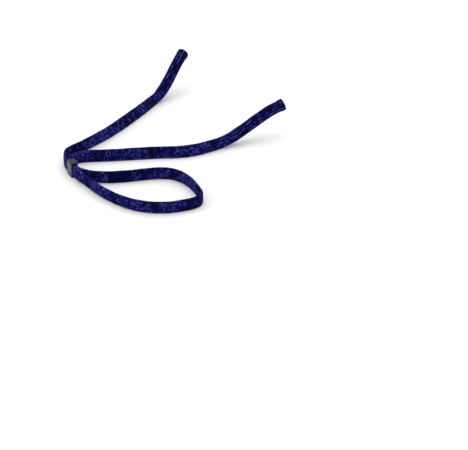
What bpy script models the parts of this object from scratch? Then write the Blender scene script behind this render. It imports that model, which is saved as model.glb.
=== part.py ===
"""Eyeglass retainer strap: a flat knitted tube, doubled through a plastic slider.

The strap stands on its edge on the floor at z = 0. Its middle makes a loop, the slider holds the two
plies together, and the two arms open from there and rise into hollow sleeves for the temple tips.
Metres, +Z up, +Y from the loop towards the mouths. The origin is under the middle of the whole box.
"""

import math

import bmesh
import bpy
import numpy as np
from mathutils import Matrix, Vector

NAME = "eyeglass_retainer_strap"

# The knitted tube pressed flat, and the same tube opened round by a temple tip.
STRAP_WIDTH = 0.0098
STRAP_THICKNESS = 0.0016
SLEEVE_WIDTH = 0.0093
SLEEVE_THICKNESS = 0.0087
SLEEVE_OPENS_OVER = 0.0140
KNIT_WALL = 0.0008
BORE_DEPTH = 0.0380

# The hem turned in at each mouth, and its thread.
HEM_LENGTH = 0.0042
HEM_PROUD = 0.0003
THREAD_RADIUS = 0.0002
THREAD_FROM_MOUTH = 0.0030

# The slider: one slot that both plies pass through.
SLIDER_CENTRE = (-0.0781, -0.0585)
SLIDER_HEADING = math.radians(-64)
SLIDER_LENGTH = 0.0086
SLIDER_WALL = 0.0008
SLIDER_ROUNDING = 0.0006
SLOT_ROUNDING = 0.0002

GAP = 0.0003
ROOT_GAP = 0.0007
HINGE_GAP = 0.0012
RING_STEP = 0.0035
SECTION_POINTS = 16
RIBBON_END_POINTS = 4

PLY_OFFSET = (STRAP_THICKNESS + GAP) / 2
PLY_LIFT = SLIDER_WALL + GAP
SLOT_THICKNESS = 2 * STRAP_THICKNESS + 3 * GAP
SLOT_HEIGHT = STRAP_WIDTH + 2 * GAP
SLIDER_THICKNESS = SLOT_THICKNESS + 2 * SLIDER_WALL
SLIDER_HEIGHT = SLOT_HEIGHT + 2 * SLIDER_WALL

# The strap's route from the left mouth to the right one. Each point is x, y, the height of the strap's
# lower edge, and its lean in degrees: a positive lean tips the upper edge to the left of someone who
# walks the route. The straight plies in the slider are worked out from the slider's place.
LEFT_SLEEVE = [
    (0.0025, 0.1212, 0.0224, 0),
    (-0.0015, 0.1142, 0.0182, 0),
    (-0.0051, 0.1067, 0.0138, 0),
    (-0.0087, 0.0987, 0.0090, 0),
    (-0.0123, 0.0912, 0.0048, 0),
    (-0.0161, 0.0837, 0.0016, -2),
    (-0.0207, 0.0745, 0, -8),
]
LEFT_ARM = [
    (-0.0253, 0.0647, 0, -12),
    (-0.0312, 0.0527, 0, -15),
    (-0.0369, 0.0419, 0, -17),
    (-0.0424, 0.0314, 0, -17),
    (-0.0480, 0.0211, 0, -15),
    (-0.0547, 0.0097, 0, -10),
    (-0.0617, -0.0007, 0, -6),
    (-0.0687, -0.0102, 0, -3),
    (-0.0749, -0.0179, 0, 0),
    (-0.0809, -0.0250, 0, 0),
]
LEFT_BEND = [
    (-0.0845, -0.0307, 0, 0),
    (-0.0853, -0.0373, 0, 0),
    (-0.0846, -0.0437, 0.0002, 0),
    (-0.0831, -0.0497, 0.0008, 0),
]
LOOP = [
    (-0.0671, -0.0781, 0.0007, -2),
    (-0.0593, -0.0893, 0.0001, -4),
    (-0.0508, -0.1002, 0, -4),
    (-0.0430, -0.1083, 0, -4),
    (-0.0339, -0.1156, 0, -4),
    (-0.0242, -0.1208, 0, -4),
    (-0.0134, -0.1231, 0, -4),
    (-0.0029, -0.1228, 0, -4),
    (0.0071, -0.1198, 0, -4),
    (0.0151, -0.1158, 0, -2),
    (0.0193, -0.1115, 0, 0),
    (0.0206, -0.1055, 0, 0),
    (0.0186, -0.0983, 0, 0),
    (0.0146, -0.0873, 0, 0),
    (0.0104, -0.0788, 0, 0),
    (0.0041, -0.0708, 0, 0),
    (-0.0029, -0.0661, 0, 0),
    (-0.0119, -0.0650, 0, 0),
    (-0.0229, -0.0668, 0, 0),
    (-0.0342, -0.0697, 0, 0),
    (-0.0449, -0.0716, 0, 0),
    (-0.0539, -0.0719, 0, 0),
    (-0.0605, -0.0714, 0.0002, 0),
    (-0.0660, -0.0702, 0.0006, 0),
    (-0.0704, -0.0684, 0.0009, 0),
]
RIGHT_BEND = [
    (-0.0808, -0.0496, 0.0008, 0),
    (-0.0809, -0.0445, 0.0002, 0),
    (-0.0779, -0.0391, 0, 1),
    (-0.0739, -0.0361, 0, 3),
]
RIGHT_ARM = [
    (-0.0691, -0.0347, 0, 5),
    (-0.0590, -0.0337, 0, 8),
    (-0.0436, -0.0320, 0, 9),
    (-0.0283, -0.0298, 0, 9),
    (-0.0129, -0.0278, 0, 9),
    (0.0001, -0.0271, 0, 9),
    (0.0100, -0.0249, 0, 9),
    (0.0175, -0.0215, 0, 9),
    (0.0251, -0.0167, 0, 7),
]
RIGHT_SLEEVE = [
    (0.0335, -0.0107, 0.0001, 4),
    (0.0415, -0.0047, 0.0016, 2),
    (0.0493, 0.0009, 0.0047, 0),
    (0.0572, 0.0051, 0.0089, 0),
    (0.0650, 0.0087, 0.0134, 0),
    (0.0729, 0.0120, 0.0177, 0),
    (0.0837, 0.0161, 0.0219, 0),
]
PLY_ALONGS = (-0.0043, -0.0020, 0.0, 0.0035, 0.0070, 0.0085)


def clear_scene():
    for old in list(bpy.data.objects):
        bpy.data.objects.remove(old)


def new_collection(name):
    collection = bpy.data.collections.new(name)
    bpy.context.scene.collection.children.link(collection)
    return collection


def plain_material(name, colour, roughness):
    material = bpy.data.materials.new(name)
    material.use_nodes = True
    shader = material.node_tree.nodes["Principled BSDF"]
    shader.inputs["Base Color"].default_value = (*colour, 1.0)
    shader.inputs["Roughness"].default_value = roughness
    return material


def ply_points(side, alongs):
    """Points of one straight ply in the slider; side is -1 for the outer ply and 1 for the inner one."""
    towards_loop = Vector((math.cos(SLIDER_HEADING), math.sin(SLIDER_HEADING)))
    across = Vector((-towards_loop.y, towards_loop.x))
    centre = Vector(SLIDER_CENTRE)
    spots = [centre + towards_loop * along + across * side * PLY_OFFSET for along in alongs]
    return [(spot.x, spot.y, PLY_LIFT, 0) for spot in spots]


class Route:
    """A smooth curve through the route's points, read by the length along it."""

    def __init__(self, points):
        self.points = np.array(points, float)
        chords = np.linalg.norm(np.diff(self.points[:, :3], axis=0), axis=1)
        self.knots = np.concatenate([[0.0], np.cumsum(chords)])
        slopes = np.diff(self.points, axis=0) / chords[:, None]
        before, after = chords[:-1, None], chords[1:, None]
        inner = (slopes[:-1] * after + slopes[1:] * before) / (before + after)
        self.slopes = np.vstack([slopes[:1], inner, slopes[-1:]])

    def read(self, along):
        """x, y, height of the lower edge, and lean in degrees."""
        i = int(np.clip(np.searchsorted(self.knots, along) - 1, 0, len(self.knots) - 2))
        span = self.knots[i + 1] - self.knots[i]
        t = (along - self.knots[i]) / span
        from_start = self.points[i] * (2 * t**3 - 3 * t**2 + 1) + self.slopes[i] * span * (t**3 - 2 * t**2 + t)
        from_end = self.points[i + 1] * (3 * t**2 - 2 * t**3) + self.slopes[i + 1] * span * (t**3 - t**2)
        return from_start + from_end

    def station(self, along, width, thickness):
        """The middle of a section, the axis of its width, and the axis of its thickness."""
        x, y, lift, lean = self.read(along)
        nearby = 0.0005
        run = self.read(along + nearby) - self.read(along - nearby)
        tangent = Vector(run[:3]).normalized()
        side = Vector((0, 0, 1)).cross(tangent).normalized()
        up = tangent.cross(side)
        lean = math.radians(lean)
        middle = Vector((x, y, max(lift, 0) + (width - thickness) / 2 * math.cos(lean) + thickness / 2))
        return middle, up * math.cos(lean) + side * math.sin(lean), side * math.cos(lean) - up * math.sin(lean)


def section_points(width, thickness, count):
    """A strip's section with round ends, as pairs across the width and through the thickness."""
    points = []
    for k in range(count):
        angle = 2 * math.pi * (k + 0.5) / count
        straight = math.copysign((width - thickness) / 2, math.sin(angle))
        points.append((straight + thickness / 2 * math.sin(angle), thickness / 2 * math.cos(angle)))
    return points


def section_ring(route, along, width, thickness, inset=0.0):
    """The section at one place of the route, drawn in by inset all round."""
    middle, width_axis, thickness_axis = route.station(along, width, thickness)
    points = section_points(width - 2 * inset, thickness - 2 * inset, SECTION_POINTS)
    return [middle + width_axis * across + thickness_axis * through for across, through in points]


def flat_profile(guides):
    """The flat strap's section as an outline, for the ribbons to follow."""
    curve = bpy.data.curves.new("strap_section", "CURVE")
    points = section_points(STRAP_WIDTH, STRAP_THICKNESS, 2 * RIBBON_END_POINTS)[::-1]
    spline = curve.splines.new("POLY")
    spline.points.add(len(points) - 1)
    for point, (across, through) in zip(spline.points, points):
        point.co = (through, across, 0, 1)
    spline.use_cyclic_u = True
    profile = bpy.data.objects.new("strap_section", curve)
    profile.hide_render = True
    profile.display_type = "WIRE"
    guides.objects.link(profile)
    return profile


def ribbon(name, route, start, end, profile, material, parts):
    """A stretch of flat strap, as a curve that carries the flat section."""
    curve = bpy.data.curves.new(name, "CURVE")
    curve.dimensions = "3D"
    curve.twist_mode = "Z_UP"
    curve.bevel_mode = "OBJECT"
    curve.bevel_object = profile
    curve.use_fill_caps = True
    alongs = np.linspace(start, end, max(2, round((end - start) / RING_STEP) + 1))
    spline = curve.splines.new("POLY")
    spline.points.add(len(alongs) - 1)
    for point, along in zip(spline.points, alongs):
        middle = route.station(along, STRAP_WIDTH, STRAP_THICKNESS)[0]
        point.co = (*middle, 1)
        point.tilt = -math.radians(route.read(along)[3])
    strap = bpy.data.objects.new(name, curve)
    strap.data.materials.append(material)
    parts.objects.link(strap)
    return strap


def loft(name, rings, ends_meet, material, parts):
    """A closed solid through the rings in turn. Where the ends don't meet, they are capped."""
    shape = bmesh.new()
    loops = [[shape.verts.new(point) for point in ring] for ring in rings]
    pairs = list(zip(loops, loops[1:]))
    if ends_meet:
        pairs.append((loops[-1], loops[0]))
    else:
        shape.faces.new(loops[0])
        shape.faces.new(loops[-1])
    for near, far in pairs:
        for k in range(len(near)):
            after = (k + 1) % len(near)
            shape.faces.new((near[k], near[after], far[after], far[k]))
    bmesh.ops.recalc_face_normals(shape, faces=shape.faces)
    mesh = bpy.data.meshes.new(name)
    shape.to_mesh(mesh)
    shape.free()
    mesh.shade_smooth()
    mesh.set_sharp_from_angle(angle=math.radians(50))
    body = bpy.data.objects.new(name, mesh)
    body.data.materials.append(material)
    parts.objects.link(body)
    return body


def sleeve_size(from_root):
    """Width and thickness of the sleeve, which opens out smoothly from the flat strap."""
    t = min(1.0, from_root / SLEEVE_OPENS_OVER)
    opened = t * t * (3 - 2 * t)
    width = STRAP_WIDTH + (SLEEVE_WIDTH - STRAP_WIDTH) * opened
    return width, STRAP_THICKNESS + (SLEEVE_THICKNESS - STRAP_THICKNESS) * opened


def temple_sleeve(name, route, root, mouth, material, parts):
    """The tube opened round, from the flat strap at its root to the hem, with a blind bore."""
    length = abs(mouth - root)
    way = math.copysign(1, mouth - root)
    steps = round(length / RING_STEP)
    outside = [length * k / steps for k in range(steps + 1)]
    inside = [spot for spot in outside if spot > length - BORE_DEPTH + HEM_LENGTH]
    rings = [section_ring(route, root + way * spot, *sleeve_size(spot)) for spot in outside]
    rings += [section_ring(route, root + way * spot, *sleeve_size(spot), KNIT_WALL) for spot in reversed(inside)]
    return loft(name, rings, False, material, parts)


def hem(name, route, inner_end, mouth, material, parts):
    """The turned-in band round the mouth, a little prouder than the sleeve."""
    size = (SLEEVE_WIDTH, SLEEVE_THICKNESS)
    middle = (inner_end + mouth) / 2
    rings = [section_ring(route, spot, *size, -HEM_PROUD) for spot in (inner_end, middle, mouth)]
    rings += [section_ring(route, spot, *size, KNIT_WALL) for spot in (mouth, middle, inner_end)]
    return loft(name, rings, True, material, parts)


def hem_thread(name, route, along, material, parts):
    """The sewing thread that runs round the hem."""
    clear = THREAD_RADIUS + GAP + HEM_PROUD
    ring = section_ring(route, along, SLEEVE_WIDTH, SLEEVE_THICKNESS, -clear)
    curve = bpy.data.curves.new(name, "CURVE")
    curve.dimensions = "3D"
    curve.bevel_depth = THREAD_RADIUS
    curve.bevel_resolution = 0
    spline = curve.splines.new("POLY")
    spline.points.add(len(ring) - 1)
    for point, spot in zip(spline.points, ring):
        point.co = (*spot, 1)
    spline.use_cyclic_u = True
    thread = bpy.data.objects.new(name, curve)
    thread.data.materials.append(material)
    parts.objects.link(thread)
    return thread


def block(name, size, collection):
    """A box of the given size about the slider's centre, turned to its heading."""
    bpy.ops.mesh.primitive_cube_add(size=1)
    box = bpy.context.object
    box.name = name
    box.data.transform(Matrix.Diagonal((*size, 1)))
    box.location = (*SLIDER_CENTRE, SLIDER_HEIGHT / 2)
    box.rotation_euler = (0, 0, SLIDER_HEADING)
    for holder in box.users_collection:
        holder.objects.unlink(box)
    collection.objects.link(box)
    return box


def rounded(box, name, width, segments):
    bevel = box.modifiers.new(name, "BEVEL")
    bevel.width = width
    bevel.segments = segments
    bevel.limit_method = "ANGLE"
    bevel.angle_limit = math.radians(60)


def slider(material, parts, guides):
    """The moulded slider, whose local X runs along the strap."""
    body = block("slider", (SLIDER_LENGTH, SLIDER_THICKNESS, SLIDER_HEIGHT), parts)
    rounded(body, "outer_edges", SLIDER_ROUNDING, 3)
    slot = block("slider_slot", (2 * SLIDER_LENGTH, SLOT_THICKNESS, SLOT_HEIGHT), guides)
    slot.hide_render = True
    slot.display_type = "WIRE"
    cut = body.modifiers.new("slot", "BOOLEAN")
    cut.operation = "DIFFERENCE"
    cut.object = slot
    rounded(body, "slot_edges", SLOT_ROUNDING, 1)
    body.data.materials.append(material)
    body.data.shade_smooth()
    return body


def hinge_empty(name, route, along, parts):
    """An empty at a hinge, which the pieces of one arm hang from."""
    empty = bpy.data.objects.new(name, None)
    empty.location = route.station(along, STRAP_WIDTH, STRAP_THICKNESS)[0]
    parts.objects.link(empty)
    return empty


def hang_from(empty, pieces):
    for piece in pieces:
        piece.parent = empty
        piece.matrix_parent_inverse = Matrix.Translation(empty.location).inverted()


def arm(side, route, hinge, sleeve_root, mouth, looks, profile, parts):
    """One arm with its sleeve, hem and thread, on its own hinge."""
    way = math.copysign(1, mouth - hinge)
    knit, thread = looks
    ribbon_ends = sorted((hinge + way * HINGE_GAP / 2, sleeve_root - way * ROOT_GAP))
    hem_end = mouth - way * HEM_LENGTH
    pieces = [
        ribbon(f"{side}_arm", route, *ribbon_ends, profile, knit, parts),
        temple_sleeve(f"{side}_temple_sleeve", route, sleeve_root, hem_end - way * GAP, knit, parts),
        hem(f"{side}_hem", route, hem_end, mouth, knit, parts),
        hem_thread(f"{side}_hem_thread", route, mouth - way * THREAD_FROM_MOUTH, thread, parts),
    ]
    hang_from(hinge_empty(f"{side}_arm_hinge", route, hinge, parts), pieces)


def main():
    clear_scene()
    parts = new_collection(NAME)
    guides = new_collection(NAME + "_guides")
    knit = plain_material("knit", (0.035, 0.035, 0.22), 0.9)
    thread = plain_material("thread", (0.02, 0.02, 0.10), 0.7)
    plastic = plain_material("plastic", (0.02, 0.02, 0.022), 0.35)

    outer_ply = ply_points(-1, PLY_ALONGS)
    inner_ply = ply_points(1, reversed(PLY_ALONGS))
    left = LEFT_SLEEVE + LEFT_ARM
    middle = LEFT_BEND + outer_ply + LOOP + inner_ply + RIGHT_BEND
    route = Route(left + middle + RIGHT_ARM + RIGHT_SLEEVE)
    left_root = route.knots[len(LEFT_SLEEVE) - 1]
    left_hinge = route.knots[len(left) - 1]
    right_hinge = route.knots[len(left + middle)]
    right_root = route.knots[-len(RIGHT_SLEEVE)]

    profile = flat_profile(guides)
    ribbon(
        "strap_loop", route, left_hinge + HINGE_GAP / 2, right_hinge - HINGE_GAP / 2, profile, knit, parts
    )
    slider(plastic, parts, guides)
    looks = (knit, thread)
    arm("left", route, left_hinge, left_root, route.knots[0], looks, profile, parts)
    arm("right", route, right_hinge, right_root, route.knots[-1], looks, profile, parts)


main()
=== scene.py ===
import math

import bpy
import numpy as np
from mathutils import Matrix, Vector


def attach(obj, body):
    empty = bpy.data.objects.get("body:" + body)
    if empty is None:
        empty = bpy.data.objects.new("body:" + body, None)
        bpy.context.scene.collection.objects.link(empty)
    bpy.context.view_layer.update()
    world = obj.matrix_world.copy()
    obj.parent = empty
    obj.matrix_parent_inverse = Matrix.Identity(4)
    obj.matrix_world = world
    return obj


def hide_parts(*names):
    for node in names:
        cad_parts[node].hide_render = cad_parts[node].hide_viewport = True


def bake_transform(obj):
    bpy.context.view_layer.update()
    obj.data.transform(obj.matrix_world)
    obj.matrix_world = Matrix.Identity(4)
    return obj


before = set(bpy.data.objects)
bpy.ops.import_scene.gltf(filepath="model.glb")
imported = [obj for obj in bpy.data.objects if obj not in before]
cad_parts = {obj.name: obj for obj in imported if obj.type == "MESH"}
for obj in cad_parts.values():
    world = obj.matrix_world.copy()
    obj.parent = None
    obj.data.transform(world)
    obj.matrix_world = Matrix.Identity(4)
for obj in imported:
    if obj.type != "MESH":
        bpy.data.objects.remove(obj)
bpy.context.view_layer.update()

# Looks of the eyeglass retainer strap: one knitted tube, its slider, and the sewn hems at its mouths.
# The tube is three pieces, cut inside the slider where nobody sees it, because its two arms swing.
# Every ring of points follows a row of knit stitches, three rings to a row, so the stitches are in the mesh.

# The camera looks down on the strap from the front, as in the photo.
CAMERA_PLACE = (0.0446, -1.4784, 0.6810)
CAMERA_TILT = math.radians(63)
CAMERA_LENS = 159.02

# Sizes that part.py gives the strap, in metres.
STRAP_WIDTH = 0.0098
STRAP_THICKNESS = 0.0016
SLEEVE_WIDTH = 0.0093
SLEEVE_THICKNESS = 0.0087
SLEEVE_OPENS_OVER = 0.0140
KNIT_WALL = 0.0008
BORE_DEPTH = 0.0380
HEM_LENGTH = 0.0042
HEM_PROUD = 0.0003
THREAD_RADIUS = 0.0002
THREAD_FROM_MOUTH = 0.0030
SLIDER_CENTRE = (-0.0781, -0.0585)
SLIDER_HEADING = math.radians(-64)
SLIDER_LENGTH = 0.0086
SLIDER_WALL = 0.0008
GAP = 0.0003
PLY_OFFSET = (STRAP_THICKNESS + GAP) / 2
PLY_LIFT = SLIDER_WALL + GAP
SLOT_THICKNESS = 2 * STRAP_THICKNESS + 3 * GAP
SLOT_HEIGHT = STRAP_WIDTH + 2 * GAP
SLIDER_THICKNESS = SLOT_THICKNESS + 2 * SLIDER_WALL
SLIDER_HEIGHT = SLOT_HEIGHT + 2 * SLIDER_WALL

# The knit. A wale is a column of stitches along the strap, and a course is one row round it. Each stitch
# is a V of two legs, and a leg's top is a quarter of a wale from the wale's middle.
WALES = 22
POINTS_PER_WALE = 4
LEG_TOP = 0.25
COURSE_WANTED = 0.0009
ROWS_PER_COURSE = 3
CHEVRON = 0.9
STITCH_DEPTH = 0.00016
WALE_DEPTH = 0.00015
MIDDLE_DIP = 0.45
MIDDLE_DIP_REACH = 0.2
KNIT_PROUD = 0.00005

# Away from the slider the pressed tube springs back to this thickness, fuller along its middle, and its
# edges waver a little.
RELAXED_THICKNESS = 0.0026
CROWN = 0.22
WAVER = 0.00006
SPRINGS_BACK_TO_LOOP = 0.0040
SPRINGS_BACK_TO_ARMS = 0.0095
SLEEVE_OPENS_EARLY = 0.0040

# The length of the short stretch at each arm's hinge.
HINGE_BEND = 0.0240

# The mouths. The knit rolls over the rim, and the bore closes to a slit at its far end.
LIP_ROWS = 3
LIP_STEPS = 10
HEM_STEP = 0.0006
INNER_HEM_PROUD = 0.0002
INNER_HEM_STEP = 0.0005
THREAD_PULLS_IN = 0.00022
THREAD_PULL_REACH = 0.0004
BORE_CLOSES_OVER = 0.0080
BORE_SLIT = 0.0003
BORE_RIBS = 0.00006

# The slider's moulded edges, and how much it is rubbed at its corners, edges and seam. Its broad sides get
# the most, which is partly wear and partly a painted highlight; the flat of its top and base gets none.
SLIDER_CORNER = 0.0006
SLOT_CORNER = 0.0002
ROUNDING_ALONG = 0.0008
ROUNDING_IN = 0.0006
SLOT_EDGE = 0.0001
SEAM_HALF = 0.00008
SEAM_HEIGHT = 0.00003
SIDE_RUB_AND_HIGHLIGHT = 0.70
CORNER_RUB = 0.42
EDGE_RUB = 0.60
SLOT_EDGE_RUB = 0.36
SEAM_RUB = 0.30

# Colours of the dyed yarn, the sewing thread and the slider.
DEEP_BLUE = (0.0005, 0.0007, 0.018)
BLUE = (0.0050, 0.0065, 0.140)
# Light stitches: partly the yarn's lighter flecks and partly a painted highlight on the tops of stitches.
LIGHT_BLUE_AND_HIGHLIGHT = (0.0740, 0.0810, 0.400)
NEAR_BLACK = (0.0040, 0.0045, 0.024)
BLACK = (0.0006, 0.0007, 0.006)
# Painted shade for the gaps in the knit.
GAP_SHADE_BLACK = (0.0, 0.0, 0.002)
THREAD_DARK = (0.004, 0.005, 0.045)
THREAD_LIGHT = (0.013, 0.015, 0.120)
PLASTIC_DARK = (0.006, 0.006, 0.008)
PLASTIC_LIGHT = (0.010, 0.010, 0.013)
# Rubbed plastic, and the painted highlight on the slider's broad sides.
PLASTIC_RUBBED_AND_HIGHLIGHT = (0.105, 0.105, 0.130)

# The dark stretches along the strap: the middle and the reach of each, in metres from the left mouth along
# the strap. Most are dark dye. The two at the left bend are partly painted shade, and the one at the inside
# of the loop's right end is painted shade. SLEEVE_PLAINER is how much less dark the dye is in the sleeves.
DARK_DYE_AND_SHADE_STRETCHES = [
    (0.063, 0.009),
    (0.099, 0.014),
    # These two, at the left bend where the strap nears the slider, are partly dark dye and partly painted
    # shade.
    (0.168, 0.014),
    (0.188, 0.006),
    (0.212, 0.004),
    (0.236, 0.004),
    (0.273, 0.004),
    (0.305, 0.004),
    (0.330, 0.007),
    # Painted shade, on the inside of the loop's right end.
    (0.350, 0.009),
    (0.391, 0.004),
    (0.411, 0.004),
    (0.434, 0.014),
    (0.456, 0.006),
    (0.481, 0.003),
    (0.515, 0.007),
    (0.556, 0.006),
    (0.606, 0.006),
    (0.650, 0.003),
]
SLEEVE_PLAINER = 0.60

# The strap's route from the left mouth to the right one, as in part.py. Each point is x, y, the height of
# the strap's lower edge, and its lean in degrees.
LEFT_SLEEVE = [
    (0.0025, 0.1212, 0.0224, 0),
    (-0.0015, 0.1142, 0.0182, 0),
    (-0.0051, 0.1067, 0.0138, 0),
    (-0.0087, 0.0987, 0.0090, 0),
    (-0.0123, 0.0912, 0.0048, 0),
    (-0.0161, 0.0837, 0.0016, -2),
    (-0.0207, 0.0745, 0, -8),
]
LEFT_ARM = [
    (-0.0253, 0.0647, 0, -12),
    (-0.0312, 0.0527, 0, -15),
    (-0.0369, 0.0419, 0, -17),
    (-0.0424, 0.0314, 0, -17),
    (-0.0480, 0.0211, 0, -15),
    (-0.0547, 0.0097, 0, -10),
    (-0.0617, -0.0007, 0, -6),
    (-0.0687, -0.0102, 0, -3),
    (-0.0749, -0.0179, 0, 0),
    (-0.0809, -0.0250, 0, 0),
]
LEFT_BEND = [
    (-0.0845, -0.0307, 0, 0),
    (-0.0853, -0.0373, 0, 0),
    (-0.0846, -0.0437, 0.0002, 0),
    (-0.0831, -0.0497, 0.0008, 0),
]
LOOP = [
    (-0.0671, -0.0781, 0.0007, -2),
    (-0.0593, -0.0893, 0.0001, -4),
    (-0.0508, -0.1002, 0, -4),
    (-0.0430, -0.1083, 0, -4),
    (-0.0339, -0.1156, 0, -4),
    (-0.0242, -0.1208, 0, -4),
    (-0.0134, -0.1231, 0, -4),
    (-0.0029, -0.1228, 0, -4),
    (0.0071, -0.1198, 0, -4),
    (0.0151, -0.1158, 0, -2),
    (0.0193, -0.1115, 0, 0),
    (0.0206, -0.1055, 0, 0),
    (0.0186, -0.0983, 0, 0),
    (0.0146, -0.0873, 0, 0),
    (0.0104, -0.0788, 0, 0),
    (0.0041, -0.0708, 0, 0),
    (-0.0029, -0.0661, 0, 0),
    (-0.0119, -0.0650, 0, 0),
    (-0.0229, -0.0668, 0, 0),
    (-0.0342, -0.0697, 0, 0),
    (-0.0449, -0.0716, 0, 0),
    (-0.0539, -0.0719, 0, 0),
    (-0.0605, -0.0714, 0.0002, 0),
    (-0.0660, -0.0702, 0.0006, 0),
    (-0.0704, -0.0684, 0.0009, 0),
]
RIGHT_BEND = [
    (-0.0808, -0.0496, 0.0008, 0),
    (-0.0809, -0.0445, 0.0002, 0),
    (-0.0779, -0.0391, 0, 1),
    (-0.0739, -0.0361, 0, 3),
]
RIGHT_ARM = [
    (-0.0691, -0.0347, 0, 5),
    (-0.0590, -0.0337, 0, 8),
    (-0.0436, -0.0320, 0, 9),
    (-0.0283, -0.0298, 0, 9),
    (-0.0129, -0.0278, 0, 9),
    (0.0001, -0.0271, 0, 9),
    (0.0100, -0.0249, 0, 9),
    (0.0175, -0.0215, 0, 9),
    (0.0251, -0.0167, 0, 7),
]
RIGHT_SLEEVE = [
    (0.0335, -0.0107, 0.0001, 4),
    (0.0415, -0.0047, 0.0016, 2),
    (0.0493, 0.0009, 0.0047, 0),
    (0.0572, 0.0051, 0.0089, 0),
    (0.0650, 0.0087, 0.0134, 0),
    (0.0729, 0.0120, 0.0177, 0),
    (0.0837, 0.0161, 0.0219, 0),
]
PLY_ALONGS = (-0.0043, -0.0020, 0.0, 0.0035, 0.0070, 0.0085)
CUT_ALONG = 0.0020


# ---- camera, floor and light

def make_camera():
    data = bpy.data.cameras.new("camera")
    data.lens = CAMERA_LENS
    data.sensor_width = 36
    data.clip_start = 0.05
    data.clip_end = 50
    camera = bpy.data.objects.new("camera", data)
    camera.location = CAMERA_PLACE
    camera.rotation_euler = (CAMERA_TILT, 0, 0)
    bpy.context.scene.collection.objects.link(camera)
    bpy.context.scene.camera = camera


def area_light(name, place, target, width, height, power):
    data = bpy.data.lights.new(name, "AREA")
    data.shape = "RECTANGLE"
    data.size = width
    data.size_y = height
    data.energy = power
    light = bpy.data.objects.new(name, data)
    light.location = place
    aim = Vector(target) - Vector(place)
    light.rotation_euler = aim.to_track_quat("-Z", "Y").to_euler()
    bpy.context.scene.collection.objects.link(light)


def make_lights():
    """An even white room, a broad softbox overhead and a smaller one from the left."""
    world = bpy.data.worlds.new("studio")
    world.use_nodes = True
    background = world.node_tree.nodes["Background"]
    background.inputs["Color"].default_value = (1.0, 1.0, 1.0, 1.0)
    background.inputs["Strength"].default_value = 0.93
    bpy.context.scene.world = world
    overhead, left = (0.1, 0.5, 1.7), (-1.5, -0.5, 0.7)
    area_light("overhead_softbox", overhead, target=(0, 0, 0), width=2.6, height=2.2, power=12)
    area_light("left_softbox", left, target=(-0.05, -0.05, 0), width=1.0, height=1.0, power=6)
    bpy.context.scene.view_settings.view_transform = "Standard"


def make_floor():
    """A matt white floor, a hair below the strap so that no two faces share a plane."""
    reach = 8.0
    drop = 0.00002
    mesh = bpy.data.meshes.new("floor")
    corners = [(-reach, -reach, 0), (reach, -reach, 0), (reach, reach, 0), (-reach, reach, 0)]
    mesh.from_pydata(corners, [], [(0, 1, 2, 3)])
    floor = bpy.data.objects.new("floor", mesh)
    floor.location.z = -drop
    bpy.context.scene.collection.objects.link(floor)
    material, _, shader = new_material("floor_white")
    shader.inputs["Base Color"].default_value = (0.93, 0.93, 0.93, 1)
    shader.inputs["Roughness"].default_value = 0.9
    shader.inputs["Specular IOR Level"].default_value = 0.1
    mesh.materials.append(material)


# ---- the route

def slider_axes():
    """The slider's direction towards the loop, and the direction across its two plies."""
    towards_loop = Vector((math.cos(SLIDER_HEADING), math.sin(SLIDER_HEADING)))
    return towards_loop, Vector((-towards_loop.y, towards_loop.x))


def ply_points(side, alongs):
    """Points of one straight ply in the slider; side is -1 for the outer ply and 1 for the inner one."""
    towards_loop, across = slider_axes()
    centre = Vector(SLIDER_CENTRE)
    spots = [centre + towards_loop * along + across * side * PLY_OFFSET for along in alongs]
    return [(spot.x, spot.y, PLY_LIFT, 0) for spot in spots]


def unit(rows):
    return rows / np.linalg.norm(rows, axis=-1, keepdims=True)


class Route:
    """A smooth curve through the route's points, read by the length along it, for many places at once."""

    def __init__(self, points):
        self.points = np.array(points, float)
        chords = np.linalg.norm(np.diff(self.points[:, :3], axis=0), axis=1)
        self.knots = np.concatenate([[0.0], np.cumsum(chords)])
        slopes = np.diff(self.points, axis=0) / chords[:, None]
        before, after = chords[:-1, None], chords[1:, None]
        inner = (slopes[:-1] * after + slopes[1:] * before) / (before + after)
        self.slopes = np.vstack([slopes[:1], inner, slopes[-1:]])

    def read(self, alongs):
        """Rows of x, y, height of the lower edge, and lean in degrees."""
        i = np.clip(np.searchsorted(self.knots, alongs) - 1, 0, len(self.knots) - 2)
        span = (self.knots[i + 1] - self.knots[i])[..., None]
        t = (alongs - self.knots[i])[..., None] / span
        start = self.points[i] * (2 * t**3 - 3 * t**2 + 1)
        start_slope = self.slopes[i] * span * (t**3 - 2 * t**2 + t)
        end = self.points[i + 1] * (3 * t**2 - 2 * t**3)
        end_slope = self.slopes[i + 1] * span * (t**3 - t**2)
        return (start + start_slope) + (end + end_slope)

    def stations(self, alongs, widths, thicknesses):
        """The middles of sections, the axes of their width, and the axes of their thickness."""
        nearby = 0.0005
        rows = self.read(alongs)
        tangents = unit((self.read(alongs + nearby) - self.read(alongs - nearby))[..., :3])
        sides = unit(np.cross((0, 0, 1), tangents))
        ups = np.cross(tangents, sides)
        lean = np.radians(rows[..., 3])
        cosine, sine = np.cos(lean), np.sin(lean)
        middles = rows[..., :3].copy()
        middles[..., 2] = np.maximum(rows[..., 2], 0) + (widths - thicknesses) / 2 * cosine + thicknesses / 2
        cosine, sine = cosine[..., None], sine[..., None]
        return middles, ups * cosine + sides * sine, sides * cosine - ups * sine


# ---- the knitted tube

def smoothstep(values, low, high):
    t = np.clip((values - low) / (high - low), 0, 1)
    return t * t * (3 - 2 * t)


def bell(values, middle, reach):
    """1 at the middle, falling away smoothly over the reach."""
    return np.exp(-(((values - middle) / reach) ** 2))


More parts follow.
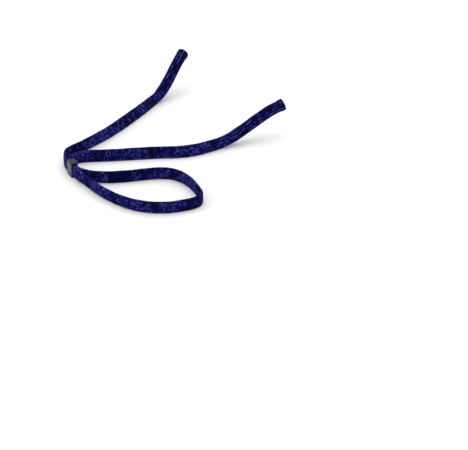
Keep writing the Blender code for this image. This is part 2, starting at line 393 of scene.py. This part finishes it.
def perimeter_points(fractions, widths, thicknesses, crown):
    """How far across the width and through the thickness a point is, by its part of the way round."""
    quarters = fractions * 4
    across_turn = np.abs((quarters + 1) % 4 - 2) - 1
    flat = (widths - thicknesses) / 2
    radius = thicknesses / 2
    reach = np.abs(across_turn) * (flat + radius * math.pi / 2)
    angle = np.clip((reach - flat) / radius, 0, math.pi / 2)
    across = -np.sign(across_turn) * (np.minimum(reach, flat) + radius * np.sin(angle))
    through_side = np.where(np.abs(quarters % 4 - 2) < 1, -1.0, 1.0)
    fuller = 1 - crown * np.clip(2 * np.abs(across) / widths, 0, 1) ** 2
    return across, through_side * radius * np.cos(angle) * fuller


class Knit:
    """The whole strap's sizes and stitches, by the length along it from the left mouth."""

    def __init__(self, route, roots, pressed):
        self.route = route
        self.roots = roots
        self.pressed = pressed
        self.length = route.knots[-1]
        self.course = self.length / round(self.length / COURSE_WANTED)
        self.row = self.course / ROWS_PER_COURSE
        self.spots = np.arange(WALES * POINTS_PER_WALE)
        self.off_middle = np.abs(self.spots % POINTS_PER_WALE / POINTS_PER_WALE - 0.5)
        self.past_leg = self.off_middle - LEG_TOP

    def sleeve_opening(self, alongs):
        """0 in the flat strap, 1 where a sleeve is fully open."""
        from_root = np.maximum(self.roots[0] - alongs, alongs - self.roots[1])
        return smoothstep(from_root, -SLEEVE_OPENS_EARLY, SLEEVE_OPENS_OVER)

    def held(self, alongs):
        """1 where the slider presses the strap flat, 0 away from it."""
        hold = np.zeros_like(alongs)
        for start, end, before, after in self.pressed:
            here = smoothstep(alongs, start - before, start) * (1 - smoothstep(alongs, end, end + after))
            hold = np.maximum(hold, here)
        return hold

    def sizes(self, alongs):
        """Width, thickness and crown of the tube's section."""
        opened = self.sleeve_opening(alongs)
        free = 1 - self.held(alongs)
        quick_wave, slow_wave = np.sin(alongs * 410), np.sin(alongs * 173 + 1.3)
        waver = free * (quick_wave + slow_wave) * WAVER
        widths = STRAP_WIDTH + (SLEEVE_WIDTH - STRAP_WIDTH) * opened + 2 * KNIT_PROUD + waver
        flat = STRAP_THICKNESS + (RELAXED_THICKNESS - STRAP_THICKNESS) * free
        thicknesses = flat + (SLEEVE_THICKNESS - flat) * opened + 2 * KNIT_PROUD
        return widths, thicknesses, CROWN * free * (1 - opened)

    def dark_dye_and_shade(self, alongs):
        """How dark the yarn is at each length along: 1 in a dark stretch, which is dye in most places and
        painted shade in a few, and below 0 in the sleeves.
        """
        middles, reaches = np.array(DARK_DYE_AND_SHADE_STRETCHES).T
        dark = bell(alongs[:, None], middles, reaches).max(axis=1)
        return dark - SLEEVE_PLAINER * self.sleeve_opening(alongs)

    def stitch_depth(self, courses):
        """How far below the tops of the stitches each point lies, for a row of courses at each ring."""
        between_wales = np.clip(self.past_leg / (0.5 - LEG_TOP), 0, 1) ** 2
        middle_dip = MIDDLE_DIP * np.clip(1 - self.off_middle / MIDDLE_DIP_REACH, 0, 1)
        across = WALE_DEPTH * (between_wales + middle_dip)
        return across + STITCH_DEPTH * (0.5 + 0.5 * np.cos(2 * math.pi * courses))

    def surface(self, alongs, inset, fractions):
        """Points of the tube, drawn in by inset, at each length along and each part of the way round."""
        alongs = np.clip(alongs, 0, self.length)
        widths, thicknesses, crown = self.sizes(alongs)
        middles, width_axes, thickness_axes = self.route.stations(alongs, widths, thicknesses)
        across, through = perimeter_points(fractions, widths - 2 * inset, thicknesses - 2 * inset, crown)
        points = middles + width_axes * across[..., None] + thickness_axes * through[..., None]
        points[..., 2] = np.maximum(points[..., 2], 0)
        return points

    def courses(self, rows, chevron):
        """The course that each point belongs to. It steps back in Vs where the rings don't run in them."""
        ahead = CHEVRON * self.past_leg
        return (rows / ROWS_PER_COURSE)[:, None] - (1 - chevron)[:, None] * ahead[None, :]

    def rings(self, alongs, inset, chevron):
        """Rings of points, one for each length along, that run ahead in Vs where chevron is 1."""
        ahead = CHEVRON * self.course * self.past_leg
        spread = alongs[:, None] + chevron[:, None] * ahead[None, :]
        fractions = np.broadcast_to(self.spots / len(self.spots), spread.shape)
        return self.surface(spread, inset, fractions)


def add_values(piece, name, values):
    """A number at each point of the mesh, for its material."""
    layer = piece.data.attributes.new(name, "FLOAT", "POINT")
    layer.data.foreach_set("value", np.array(values, np.float32).ravel())


def add_strap_values(piece, knit, alongs, around):
    """The dark stretches of dye and painted shade, and how far the tube is opened, at each point of rings
    that lie at the given lengths along.
    """
    add_values(piece, "dark_dye_and_shade", np.repeat(knit.dark_dye_and_shade(alongs), around))
    add_values(piece, "opened", np.repeat(knit.sleeve_opening(alongs), around))


def signed_volume(mesh):
    """The mesh's volume, which is negative where its faces point inwards."""
    mesh.calc_loop_triangles()
    corners = np.zeros(len(mesh.loop_triangles) * 3, np.int32)
    mesh.loop_triangles.foreach_get("vertices", corners)
    points = np.zeros(len(mesh.vertices) * 3)
    mesh.vertices.foreach_get("co", points)
    a, b, c = np.moveaxis(points.reshape(-1, 3)[corners.reshape(-1, 3)], 1, 0)
    return float(np.einsum("ij,ij->", a, np.cross(b, c))) / 6


def ring_faces(ring_count, around, ends_meet):
    """Four-sided faces between neighbouring rings, as rows of vertex numbers."""
    starts = np.arange(ring_count if ends_meet else ring_count - 1)[:, None] * around
    spots = np.arange(around)[None, :]
    after = (spots + 1) % around
    next_starts = (starts + around) % (ring_count * around)
    corners = [starts + spots, starts + after, next_starts + after, next_starts + spots]
    return np.stack(corners, axis=-1).reshape(-1, 4).tolist()


def add_stitch_map(mesh, stitches):
    """A UV map whose U counts wales and whose V counts courses, from each point's place in courses."""
    ring_count, around = stitches.shape
    wales = np.arange(around + 1) / POINTS_PER_WALE
    stitches = np.append(stitches, stitches[:, :1], axis=1)
    grid = np.zeros((ring_count - 1, around, 4, 2))
    grid[:, :, (0, 3), 0] = wales[None, :-1, None]
    grid[:, :, (1, 2), 0] = wales[None, 1:, None]
    grid[:, :, 0, 1] = stitches[:-1, :-1]
    grid[:, :, 1, 1] = stitches[:-1, 1:]
    grid[:, :, 2, 1] = stitches[1:, 1:]
    grid[:, :, 3, 1] = stitches[1:, :-1]
    corners = np.zeros((len(mesh.loops), 2), np.float32)
    corners[: grid.size // 2] = grid.reshape(-1, 2)
    mesh.uv_layers.new(name="stitches").uv.foreach_set("vector", corners.ravel())


def ring_mesh(name, rings, material, ends_meet=False, stitches=None):
    """A closed mesh through rings of points. stitches gives each point's place in courses."""
    ring_count, around = rings.shape[:2]
    faces = ring_faces(ring_count, around, ends_meet)
    if not ends_meet:
        total = ring_count * around
        faces.append(list(range(around))[::-1])
        faces.append(list(range(total - around, total)))
    mesh = bpy.data.meshes.new(name)
    mesh.from_pydata(rings.reshape(-1, 3).tolist(), [], faces)
    if stitches is not None:
        add_stitch_map(mesh, stitches)
    mesh.materials.append(material)
    mesh.shade_smooth()
    if signed_volume(mesh) < 0:
        mesh.flip_normals()
    piece = bpy.data.objects.new(name, mesh)
    bpy.context.scene.collection.objects.link(piece)
    return piece


def loop_piece(knit, first_row, last_row, material):
    rows = np.arange(first_row, last_row + 1)
    in_vs = np.ones(len(rows))
    courses = knit.courses(rows, in_vs)
    rings = knit.rings(rows * knit.row, knit.stitch_depth(courses), in_vs)
    piece = ring_mesh("knitted_loop", rings, material, stitches=courses)
    add_strap_values(piece, knit, rows * knit.row, rings.shape[1])
    return piece


def arm_outside(knit, mouth_row, cut_row):
    """Rings from the cut in the slider to the lip of the mouth, with the hem a little proud."""
    way = 1 if cut_row > mouth_row else -1
    rows = np.arange(cut_row, mouth_row + way * (LIP_ROWS - 1), -way)
    from_mouth = np.abs(rows - mouth_row) * knit.row
    lip = LIP_ROWS * knit.row
    chevron = smoothstep(from_mouth, lip, lip + 1.5 * knit.course)
    proud = HEM_PROUD * (1 - smoothstep(from_mouth, HEM_LENGTH - HEM_STEP, HEM_LENGTH))
    pulled_in = THREAD_PULLS_IN * bell(from_mouth, THREAD_FROM_MOUTH, THREAD_PULL_REACH)
    courses = knit.courses(rows, chevron)
    inset = knit.stitch_depth(courses) + (pulled_in - proud)[:, None]
    return knit.rings(rows * knit.row, inset, chevron), courses, rows * knit.row


def arm_lip(knit, mouth, way, lip):
    """Rings that roll over the rim of the mouth, from the outside to the inside."""
    turns = np.linspace(0, math.pi, LIP_STEPS)[1:-1]
    middle = (KNIT_WALL - HEM_PROUD) / 2
    half_wall = (KNIT_WALL + HEM_PROUD) / 2
    roll = (middle - half_wall * np.cos(turns))[:, None]
    ribbing = 0.5 * np.sin(turns)[:, None] * knit.stitch_depth(0)
    return knit.rings(mouth + way * lip * (1 - np.sin(turns)), roll + ribbing, np.zeros(len(turns)))


def arm_inside(knit, mouth, way, lip):
    """Rings down the bore: the turned-in hem, then the sleeve's inner face, closing to a flat slit."""
    depths = np.arange(lip, BORE_DEPTH, knit.course / 2)
    closed = SLEEVE_THICKNESS / 2 - BORE_SLIT
    closing = smoothstep(depths, BORE_DEPTH - BORE_CLOSES_OVER, BORE_DEPTH)
    hem_edge = INNER_HEM_PROUD * smoothstep(depths, HEM_LENGTH - INNER_HEM_STEP, HEM_LENGTH)
    ribs = BORE_RIBS * np.cos(math.pi * np.arange(len(depths)))
    inset = KNIT_WALL + (closed - KNIT_WALL) * closing - hem_edge + ribs
    grooves = 0.5 * knit.stitch_depth(0.5) * (1 - closing)[:, None]
    return knit.rings(mouth + way * depths, inset[:, None] + grooves, np.zeros(len(depths))), depths


def arm_piece(side, knit, mouth_row, cut_row, material):
    """One arm as a closed skin: outside from the slider to the mouth, over the lip, and down the bore."""
    way = 1 if cut_row > mouth_row else -1
    mouth = mouth_row * knit.row
    lip = LIP_ROWS * knit.row
    outside, outside_courses, outside_alongs = arm_outside(knit, mouth_row, cut_row)
    rim = arm_lip(knit, mouth, way, lip)
    inside, depths = arm_inside(knit, mouth, way, lip)
    over_rim = math.pi * KNIT_WALL / knit.course * np.linspace(0, 1, len(rim) + 1)[1:]
    rim_courses = outside_courses[-1] - way * over_rim[:, None]
    inside_courses = rim_courses[-1] - way * (depths - lip + knit.row)[:, None] / knit.course
    rings = np.concatenate([outside, rim, inside])
    courses = np.concatenate([outside_courses, rim_courses, inside_courses])
    alongs = np.concatenate([outside_alongs, np.full(len(rim), mouth), mouth + way * depths])
    piece = ring_mesh(f"{side}_knitted_arm", rings, material, stitches=courses)
    add_strap_values(piece, knit, alongs, rings.shape[1])
    return piece


def hem_stitching(side, knit, mouth, way, material):
    """One thread round the hem, in one short stitch to each wale: over the knit and back under it."""
    points_each, around = 8, 8
    middle_height, dive, sway = 0.00002, 0.00030, 0.00010
    well_outside = 0.001
    count = WALES * points_each
    fractions = np.arange(count) / count
    phase = 2 * math.pi * fractions * WALES
    alongs = mouth + way * (THREAD_FROM_MOUTH + sway * np.cos(phase))
    heights = middle_height + dive * np.sin(phase)
    line = knit.surface(alongs, -heights, fractions)
    outer = knit.surface(alongs, -heights - well_outside, fractions)
    tangents = unit(np.roll(line, -1, axis=0) - np.roll(line, 1, axis=0))
    outward = unit(outer - line)
    sideways = unit(np.cross(tangents, outward))
    outward = np.cross(sideways, tangents)
    angles = 2 * math.pi * np.arange(around) / around
    outward_part = np.cos(angles)[None, :, None] * outward[:, None, :]
    sideways_part = np.sin(angles)[None, :, None] * sideways[:, None, :]
    rings = line[:, None, :] + THREAD_RADIUS * (outward_part + sideways_part)
    return ring_mesh(f"{side}_hem_stitching", rings, material, ends_meet=True)


# ---- the slider

def rounded_rectangle(half_width, half_height, radius):
    """Points round a rectangle, and how much each is rubbed. Its broad sides stand along its height."""
    corner_signs = ((1, 1), (-1, 1), (-1, -1), (1, -1))
    parts_of_side = (0.12, 0.5, 0.88)
    arc = np.linspace(0, math.pi / 2, 6)
    points, rub_and_highlight = [], []
    for quarter, (sign_y, sign_z) in enumerate(corner_signs):
        broad_side_next = quarter % 2 == 1
        turned = arc[::-1] if broad_side_next else arc
        corner_y = sign_y * (half_width - radius + radius * np.cos(turned))
        corner_z = sign_z * (half_height - radius + radius * np.sin(turned))
        points += list(zip(corner_y, corner_z))
        rub_and_highlight += [CORNER_RUB] * len(arc)
        start_y, start_z = points[-1]
        end_y, end_z = (start_y, -start_z) if broad_side_next else (-start_y, start_z)
        for part in parts_of_side:
            points.append((start_y + (end_y - start_y) * part, start_z + (end_z - start_z) * part))
            # On the broad sides the rub is partly a painted highlight.
            rub_and_highlight.append(SIDE_RUB_AND_HIGHLIGHT if broad_side_next else 0.0)
    return np.array(points), np.array(rub_and_highlight)


def slider_profile():
    """Places along the slider, how far in from its outside, and how rubbed, all round the wall's section."""
    half = SLIDER_LENGTH / 2
    before_rounding = 0.0001
    into_slot = 0.0012
    seam = [
        (-SEAM_HALF, 0, 0),
        (-SEAM_HALF / 3, -SEAM_HEIGHT, SEAM_RUB),
        (SEAM_HALF / 3, -SEAM_HEIGHT, SEAM_RUB),
        (SEAM_HALF, 0, 0),
    ]
    end = [(2 * SEAM_HALF, 0, 0), (half - ROUNDING_ALONG - before_rounding, 0, 0)]
    for angle in np.linspace(0, math.pi / 2, 8):
        place = half - ROUNDING_ALONG * (1 - math.sin(angle))
        end.append((place, ROUNDING_IN * (1 - math.cos(angle)), EDGE_RUB * math.sin(angle) ** 4))
    for angle in np.linspace(0, math.pi / 2, 4)[1:]:
        place = half - SLOT_EDGE * (1 - math.cos(angle))
        inwards = SLIDER_WALL - SLOT_EDGE + SLOT_EDGE * math.sin(angle)
        end.append((place, max(inwards, ROUNDING_IN), SLOT_EDGE_RUB))
    end.append((half - into_slot, SLIDER_WALL, 0))
    other_end = [(-place, inwards, rub_and_highlight) for place, inwards, rub_and_highlight in reversed(end)]
    return seam + end + other_end


def slider_piece(material):
    """The moulded slider: a rounded sleeve with one slot, and a fine seam where its mould closed."""
    towards_loop, across = slider_axes()
    length_axis = np.array((*towards_loop, 0))
    thickness_axis = np.array((*across, 0))
    up_axis = np.array((0, 0, 1))
    middle = np.array((*SLIDER_CENTRE, SLIDER_HEIGHT / 2))
    rings, rub_and_highlight = [], []
    for place, inwards, edge_rub in slider_profile():
        half_width = SLIDER_THICKNESS / 2 - inwards
        half_height = SLIDER_HEIGHT / 2 - inwards
        corner = max(SLIDER_CORNER - inwards, SLOT_CORNER)
        outline, side_rub_and_highlight = rounded_rectangle(half_width, half_height, corner)
        through, up = thickness_axis * outline[:, :1], up_axis * outline[:, 1:]
        rings.append(middle + length_axis * place + through + up)
        outside = inwards < SLIDER_WALL
        rub_and_highlight.append(np.maximum(side_rub_and_highlight * outside, edge_rub))
    piece = ring_mesh("moulded_slider", np.array(rings), material, ends_meet=True)
    add_values(piece, "wear_and_highlight", rub_and_highlight)
    return piece


# ---- nodes for the materials

def feed(tree, socket, value):
    """Link a socket, or set a plain number or colour."""
    if isinstance(value, bpy.types.NodeSocket):
        tree.links.new(value, socket)
    elif isinstance(value, tuple):
        socket.default_value = (*value, 1)
    else:
        socket.default_value = value


def maths(tree, operation, *values):
    node = tree.nodes.new("ShaderNodeMath")
    node.operation = operation
    for socket, value in zip(node.inputs, values):
        feed(tree, socket, value)
    return node.outputs[0]


def scaled(tree, value, factor, start):
    """start, plus factor times the value."""
    return maths(tree, "ADD", maths(tree, "MULTIPLY", value, factor), start)


def weighted_sum(tree, *pairs):
    """The sum of values, each times its weight."""
    parts = [maths(tree, "MULTIPLY", value, weight) for value, weight in pairs]
    total = parts[0]
    for part in parts[1:]:
        total = maths(tree, "ADD", total, part)
    return total


def between(tree, value, low, high):
    """0 below low, 1 above high, and smooth in between."""
    node = tree.nodes.new("ShaderNodeMapRange")
    node.interpolation_type = "SMOOTHSTEP"
    feed(tree, node.inputs["Value"], value)
    feed(tree, node.inputs["From Min"], low)
    feed(tree, node.inputs["From Max"], high)
    return node.outputs["Result"]


def vector(tree, x, y, z):
    node = tree.nodes.new("ShaderNodeCombineXYZ")
    for socket, value in zip(node.inputs, (x, y, z)):
        feed(tree, socket, value)
    return node.outputs[0]


def noise(tree, place, scale, detail):
    node = tree.nodes.new("ShaderNodeTexNoise")
    tree.links.new(place, node.inputs["Vector"])
    node.inputs["Scale"].default_value = scale
    node.inputs["Detail"].default_value = detail
    return node.outputs["Fac"]


def white_noise(tree, x, y, z):
    """An even random number for each whole x, y and z."""
    node = tree.nodes.new("ShaderNodeTexWhiteNoise")
    node.noise_dimensions = "3D"
    tree.links.new(vector(tree, x, y, z), node.inputs["Vector"])
    return node.outputs["Value"]


def attribute(tree, name):
    node = tree.nodes.new("ShaderNodeAttribute")
    node.attribute_name = name
    return node.outputs["Fac"]


def object_place(tree):
    return tree.nodes.new("ShaderNodeTexCoord").outputs["Object"]


def shades(tree, amount, stops):
    """A colour ramp through (position, colour) stops."""
    node = tree.nodes.new("ShaderNodeValToRGB")
    feed(tree, node.inputs[0], amount)
    ramp = node.color_ramp
    while len(ramp.elements) < len(stops):
        ramp.elements.new(0.5)
    for element, (position, colour) in zip(ramp.elements, stops):
        element.position = position
        element.color = (*colour, 1)
    return node.outputs[0]


def mix(tree, amount, first, second):
    """A blend of two colours. A Mix node's colour sockets are its inputs 6 and 7 and its output 2."""
    node = tree.nodes.new("ShaderNodeMix")
    node.data_type = "RGBA"
    feed(tree, node.inputs["Factor"], amount)
    feed(tree, node.inputs[6], first)
    feed(tree, node.inputs[7], second)
    return node.outputs[2]


def new_material(name):
    material = bpy.data.materials.new(name)
    material.use_nodes = True
    tree = material.node_tree
    return material, tree, tree.nodes["Principled BSDF"]


def bump(tree, shader, height, distance, strength):
    node = tree.nodes.new("ShaderNodeBump")
    node.inputs["Strength"].default_value = strength
    node.inputs["Distance"].default_value = distance
    tree.links.new(height, node.inputs["Height"])
    tree.links.new(node.outputs[0], shader.inputs["Normal"])


# ---- materials

def stitch_places(tree):
    """How far round in wales and how far along in courses a point is, from the mesh's UV map."""
    uv = tree.nodes.new("ShaderNodeUVMap")
    uv.uv_map = "stitches"
    split = tree.nodes.new("ShaderNodeSeparateXYZ")
    tree.links.new(uv.outputs[0], split.inputs[0])
    return split.outputs[0], split.outputs[1]


def stitch_shade(tree, wale, course, opened):
    """Each stitch's own shade, 0 to 1. Along the sleeves, where the knit is stretched, it runs in lines."""
    one_stitch = white_noise(tree, wale, course, 0.0)
    threes = maths(tree, "FLOOR", maths(tree, "DIVIDE", maths(tree, "ADD", course, wale), 3.0))
    three_stitches = white_noise(tree, wale, threes, 7.0)
    every_other = maths(tree, "FLOORED_MODULO", maths(tree, "ADD", wale, course), 2.0)
    scattered = weighted_sum(tree, (one_stitch, 0.60), (three_stitches, 0.18), (every_other, 0.22))

    sixes = maths(tree, "DIVIDE", course, 6.0)
    staggered = maths(tree, "FLOOR", maths(tree, "ADD", sixes, maths(tree, "MULTIPLY", wale, 0.37)))
    six_stitches = white_noise(tree, wale, staggered, 3.0)
    every_other_wale = maths(tree, "FLOORED_MODULO", wale, 2.0)
    lined = weighted_sum(tree, (six_stitches, 0.62), (every_other_wale, 0.38))

    how_lined = maths(tree, "MULTIPLY", opened, 0.60)
    change = maths(tree, "SUBTRACT", lined, scattered)
    return maths(tree, "ADD", scattered, maths(tree, "MULTIPLY", how_lined, change))


def dark_dye_and_shade_mask(tree, wale, course, shade):
    """1 where the yarn is nearly black: in dashes along it, more of them in some zones of the strap, and in
    the listed stretches, a few of which are painted shade.
    """
    ring_size, zone_step, dash_step = 0.45, 0.25, 4.6
    angle = maths(tree, "MULTIPLY", wale, 2 * math.pi / WALES)
    ring_x = maths(tree, "MULTIPLY", maths(tree, "COSINE", angle), ring_size)
    ring_y = maths(tree, "MULTIPLY", maths(tree, "SINE", angle), ring_size)
    along = maths(tree, "MULTIPLY", course, zone_step)
    zone = noise(tree, vector(tree, ring_x, ring_y, along), 1.0, 1.0)
    turns = maths(tree, "ADD", course, maths(tree, "DIVIDE", wale, WALES))
    along_yarn = maths(tree, "MULTIPLY", turns, dash_step)
    dash = noise(tree, vector(tree, along_yarn, 0.0, 0.0), 1.0, 1.0)
    dye_and_shade_stretch = attribute(tree, "dark_dye_and_shade")
    darkness = weighted_sum(tree, (zone, 1.3), (dash, 0.75), (shade, 0.30), (dye_and_shade_stretch, 0.34))
    return between(tree, darkness, 1.33, 1.55)


def dyed_and_painted_yarn(tree, wale, course, opened):
    """The yarn's colour, one to a stitch: shades of blue, whose lightest is partly painted highlight, and
    shades of black where the dye is dark and where shade is painted as dark yarn.
    """
    shade = stitch_shade(tree, wale, course, opened)
    blues = shades(tree, shade, [(0.34, DEEP_BLUE), (0.44, BLUE), (0.60, BLUE), (0.72, LIGHT_BLUE_AND_HIGHLIGHT)])
    blacks = shades(tree, shade, [(0.30, BLACK), (0.44, NEAR_BLACK), (0.60, NEAR_BLACK), (0.70, BLUE)])
    return mix(tree, dark_dye_and_shade_mask(tree, wale, course, shade), blues, blacks)


def hump(tree, fraction):
    """0 at both edges of a yarn, 1 along its top."""
    return maths(tree, "SINE", maths(tree, "MULTIPLY", fraction, math.pi))


def paint_gap_shade(tree, dyed_and_painted, wales, yarn, opened):
    """The colour with painted shade: dark gaps round each yarn and between wales, wider where a sleeve is
    stretched open.
    """
    gap_shade_amount = scaled(tree, opened, 0.20, 0.65)
    gap_width = scaled(tree, opened, 0.20, 0.75)
    gutter_starts = scaled(tree, opened, -0.14, 0.34)
    gutter_shade_depth = scaled(tree, opened, 0.45, 0.55)
    off_wale = maths(tree, "ABSOLUTE", maths(tree, "SUBTRACT", maths(tree, "FRACT", wales), 0.5))
    gutter_shade = maths(tree, "MULTIPLY", between(tree, off_wale, gutter_starts, 0.5), gutter_shade_depth)
    lit = maths(tree, "SUBTRACT", between(tree, yarn, 0.0, gap_width), gutter_shade)
    return mix(tree, lit, mix(tree, gap_shade_amount, dyed_and_painted, GAP_SHADE_BLACK), dyed_and_painted)


def knit_material():
    """Space-dyed matt knit, with the fibres of each yarn twisted round it."""
    material, tree, shader = new_material("knit")
    wales, courses = stitch_places(tree)
    wale = maths(tree, "FLOOR", wales)
    course = maths(tree, "FLOOR", courses)
    across_leg = maths(tree, "FRACT", maths(tree, "MULTIPLY", wales, 2))
    across_yarn = maths(tree, "FRACT", courses)
    opened = attribute(tree, "opened")
    dyed_and_painted = dyed_and_painted_yarn(tree, wale, course, opened)
    # Painted shade: the colour darkens towards the edges of each yarn and leg, and in the gaps between wales.
    leg = scaled(tree, hump(tree, across_leg), 0.45, 0.55)
    yarn = maths(tree, "MULTIPLY", hump(tree, across_yarn), leg)
    tree.links.new(paint_gap_shade(tree, dyed_and_painted, wales, yarn, opened), shader.inputs["Base Color"])

    twist = weighted_sum(tree, (across_yarn, 3.0), (across_leg, 1.6))
    fibres = maths(tree, "SINE", maths(tree, "MULTIPLY", twist, 2 * math.pi))
    height = maths(tree, "ADD", yarn, maths(tree, "MULTIPLY", fibres, 0.10))
    bump(tree, shader, height, distance=0.00016, strength=0.8)
    shader.inputs["Roughness"].default_value = 0.68
    shader.inputs["Specular IOR Level"].default_value = 0.02
    shader.inputs["Sheen Weight"].default_value = 0.01
    shader.inputs["Sheen Roughness"].default_value = 0.35
    shader.inputs["Sheen Tint"].default_value = (0.3, 0.35, 1.0, 1)
    return material


def plastic_material():
    """Black moulded plastic with a fine spark-eroded grain, rubbed dull and grey where it is handled. On its
    broad sides that grey is partly a painted highlight.
    """
    material, tree, shader = new_material("moulded_plastic")
    place = object_place(tree)
    grain = noise(tree, place, scale=6000, detail=2.0)
    patches = noise(tree, place, scale=420, detail=3.0)
    scuffs = scaled(tree, noise(tree, place, scale=2600, detail=4.0), 0.70, 0.15)
    # Wear at the edges and seam, and on the broad sides partly a painted highlight, in the same grey.
    rub_and_highlight = maths(tree, "MULTIPLY", attribute(tree, "wear_and_highlight"), scuffs)
    polished = scaled(tree, patches, 0.12, 0.13)
    rough = maths(tree, "ADD", polished, maths(tree, "MULTIPLY", rub_and_highlight, 0.12))
    tree.links.new(rough, shader.inputs["Roughness"])
    tone = mix(tree, between(tree, patches, 0.3, 0.75), PLASTIC_DARK, PLASTIC_LIGHT)
    tree.links.new(mix(tree, rub_and_highlight, tone, PLASTIC_RUBBED_AND_HIGHLIGHT), shader.inputs["Base Color"])
    bump(tree, shader, grain, distance=0.00003, strength=0.30)
    shader.inputs["Specular IOR Level"].default_value = 0.18
    shader.inputs["Specular Tint"].default_value = (0.80, 0.80, 1.0, 1)
    return material


def thread_material():
    """Twisted sewing thread, in the strap's navy."""
    material, tree, shader = new_material("sewing_thread")
    strands = noise(tree, object_place(tree), scale=5200, detail=1.0)
    tree.links.new(mix(tree, strands, THREAD_DARK, THREAD_LIGHT), shader.inputs["Base Color"])
    bump(tree, shader, strands, distance=0.00008, strength=0.6)
    shader.inputs["Roughness"].default_value = 0.55
    shader.inputs["Specular IOR Level"].default_value = 0.15
    return material


# ---- assembly

def declare_strap(piece, knit, first_row, last_row, far_end):
    """Works out points along this stretch of the flat cord, which leaves the slider at its first row."""
    rows_apart = 10
    count = 2 + abs(last_row - first_row) // rows_apart
    alongs = np.linspace(first_row, last_row, count) * knit.row
    path = knit.route.stations(alongs, *knit.sizes(alongs)[:2])[0]


def add_loop(knit, cuts, yarn):
    loop = loop_piece(knit, *cuts, yarn)
    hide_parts("strap_loop")
    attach(loop, "strap")
    declare_strap(loop, knit, *cuts, "object")


def add_arm(side, knit, hinge, mouth_row, cut_row, yarn, thread):
    """One arm with its hem stitching, and the two ends of the short stretch at its hinge."""
    way = 1 if cut_row > mouth_row else -1
    arm = arm_piece(side, knit, mouth_row, cut_row, yarn)
    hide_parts(f"{side}_arm", f"{side}_temple_sleeve", f"{side}_hem")
    bends_over = np.array((way, -way)) * HINGE_BEND / 2 + hinge
    start, end = knit.route.stations(bends_over, *knit.sizes(bends_over)[:2])[0]
    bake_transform(arm)
    declare_strap(arm, knit, cut_row, mouth_row, "bare")
    stitching = hem_stitching(side, knit, mouth_row * knit.row, way, thread)
    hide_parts(f"{side}_hem_thread")
    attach(stitching, f"{side}_arm")


def add_slider(plastic):
    slider = slider_piece(plastic)
    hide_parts("slider")
    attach(slider, "slider")


def lay_out_strap():
    """The whole strap, and the lengths along it of its two hinges and of its two cuts in the slider."""
    left = LEFT_SLEEVE + LEFT_ARM
    to_outer = left + LEFT_BEND
    to_inner = to_outer + ply_points(-1, PLY_ALONGS) + LOOP
    inner_ply = ply_points(1, reversed(PLY_ALONGS))
    to_right = to_inner + inner_ply + RIGHT_BEND
    route = Route(to_right + RIGHT_ARM + RIGHT_SLEEVE)
    outer_start = route.knots[len(to_outer)]
    inner_end = route.knots[len(to_inner + inner_ply) - 1]
    straight = PLY_ALONGS[-1] - PLY_ALONGS[0]
    pressed = (
        (outer_start, outer_start + straight, SPRINGS_BACK_TO_ARMS, SPRINGS_BACK_TO_LOOP),
        (inner_end - straight, inner_end, SPRINGS_BACK_TO_LOOP, SPRINGS_BACK_TO_ARMS),
    )
    roots = (route.knots[len(LEFT_SLEEVE) - 1], route.knots[-len(RIGHT_SLEEVE)])
    hinges = (route.knots[len(left) - 1], route.knots[len(to_right)])
    to_cut = CUT_ALONG - PLY_ALONGS[0]
    return Knit(route, roots, pressed), hinges, (outer_start + to_cut, inner_end - to_cut)


def main():
    make_camera()
    knit, hinges, cuts = lay_out_strap()
    left_cut, right_cut = [ROWS_PER_COURSE * round(cut / knit.course) for cut in cuts]
    last_row = round(knit.length / knit.row)
    yarn = knit_material()
    thread = thread_material()
    add_loop(knit, (left_cut, right_cut), yarn)
    add_arm("left", knit, hinges[0], 0, left_cut, yarn, thread)
    add_arm("right", knit, hinges[1], last_row, right_cut, yarn, thread)
    add_slider(plastic_material())
    make_floor()
    make_lights()


main()
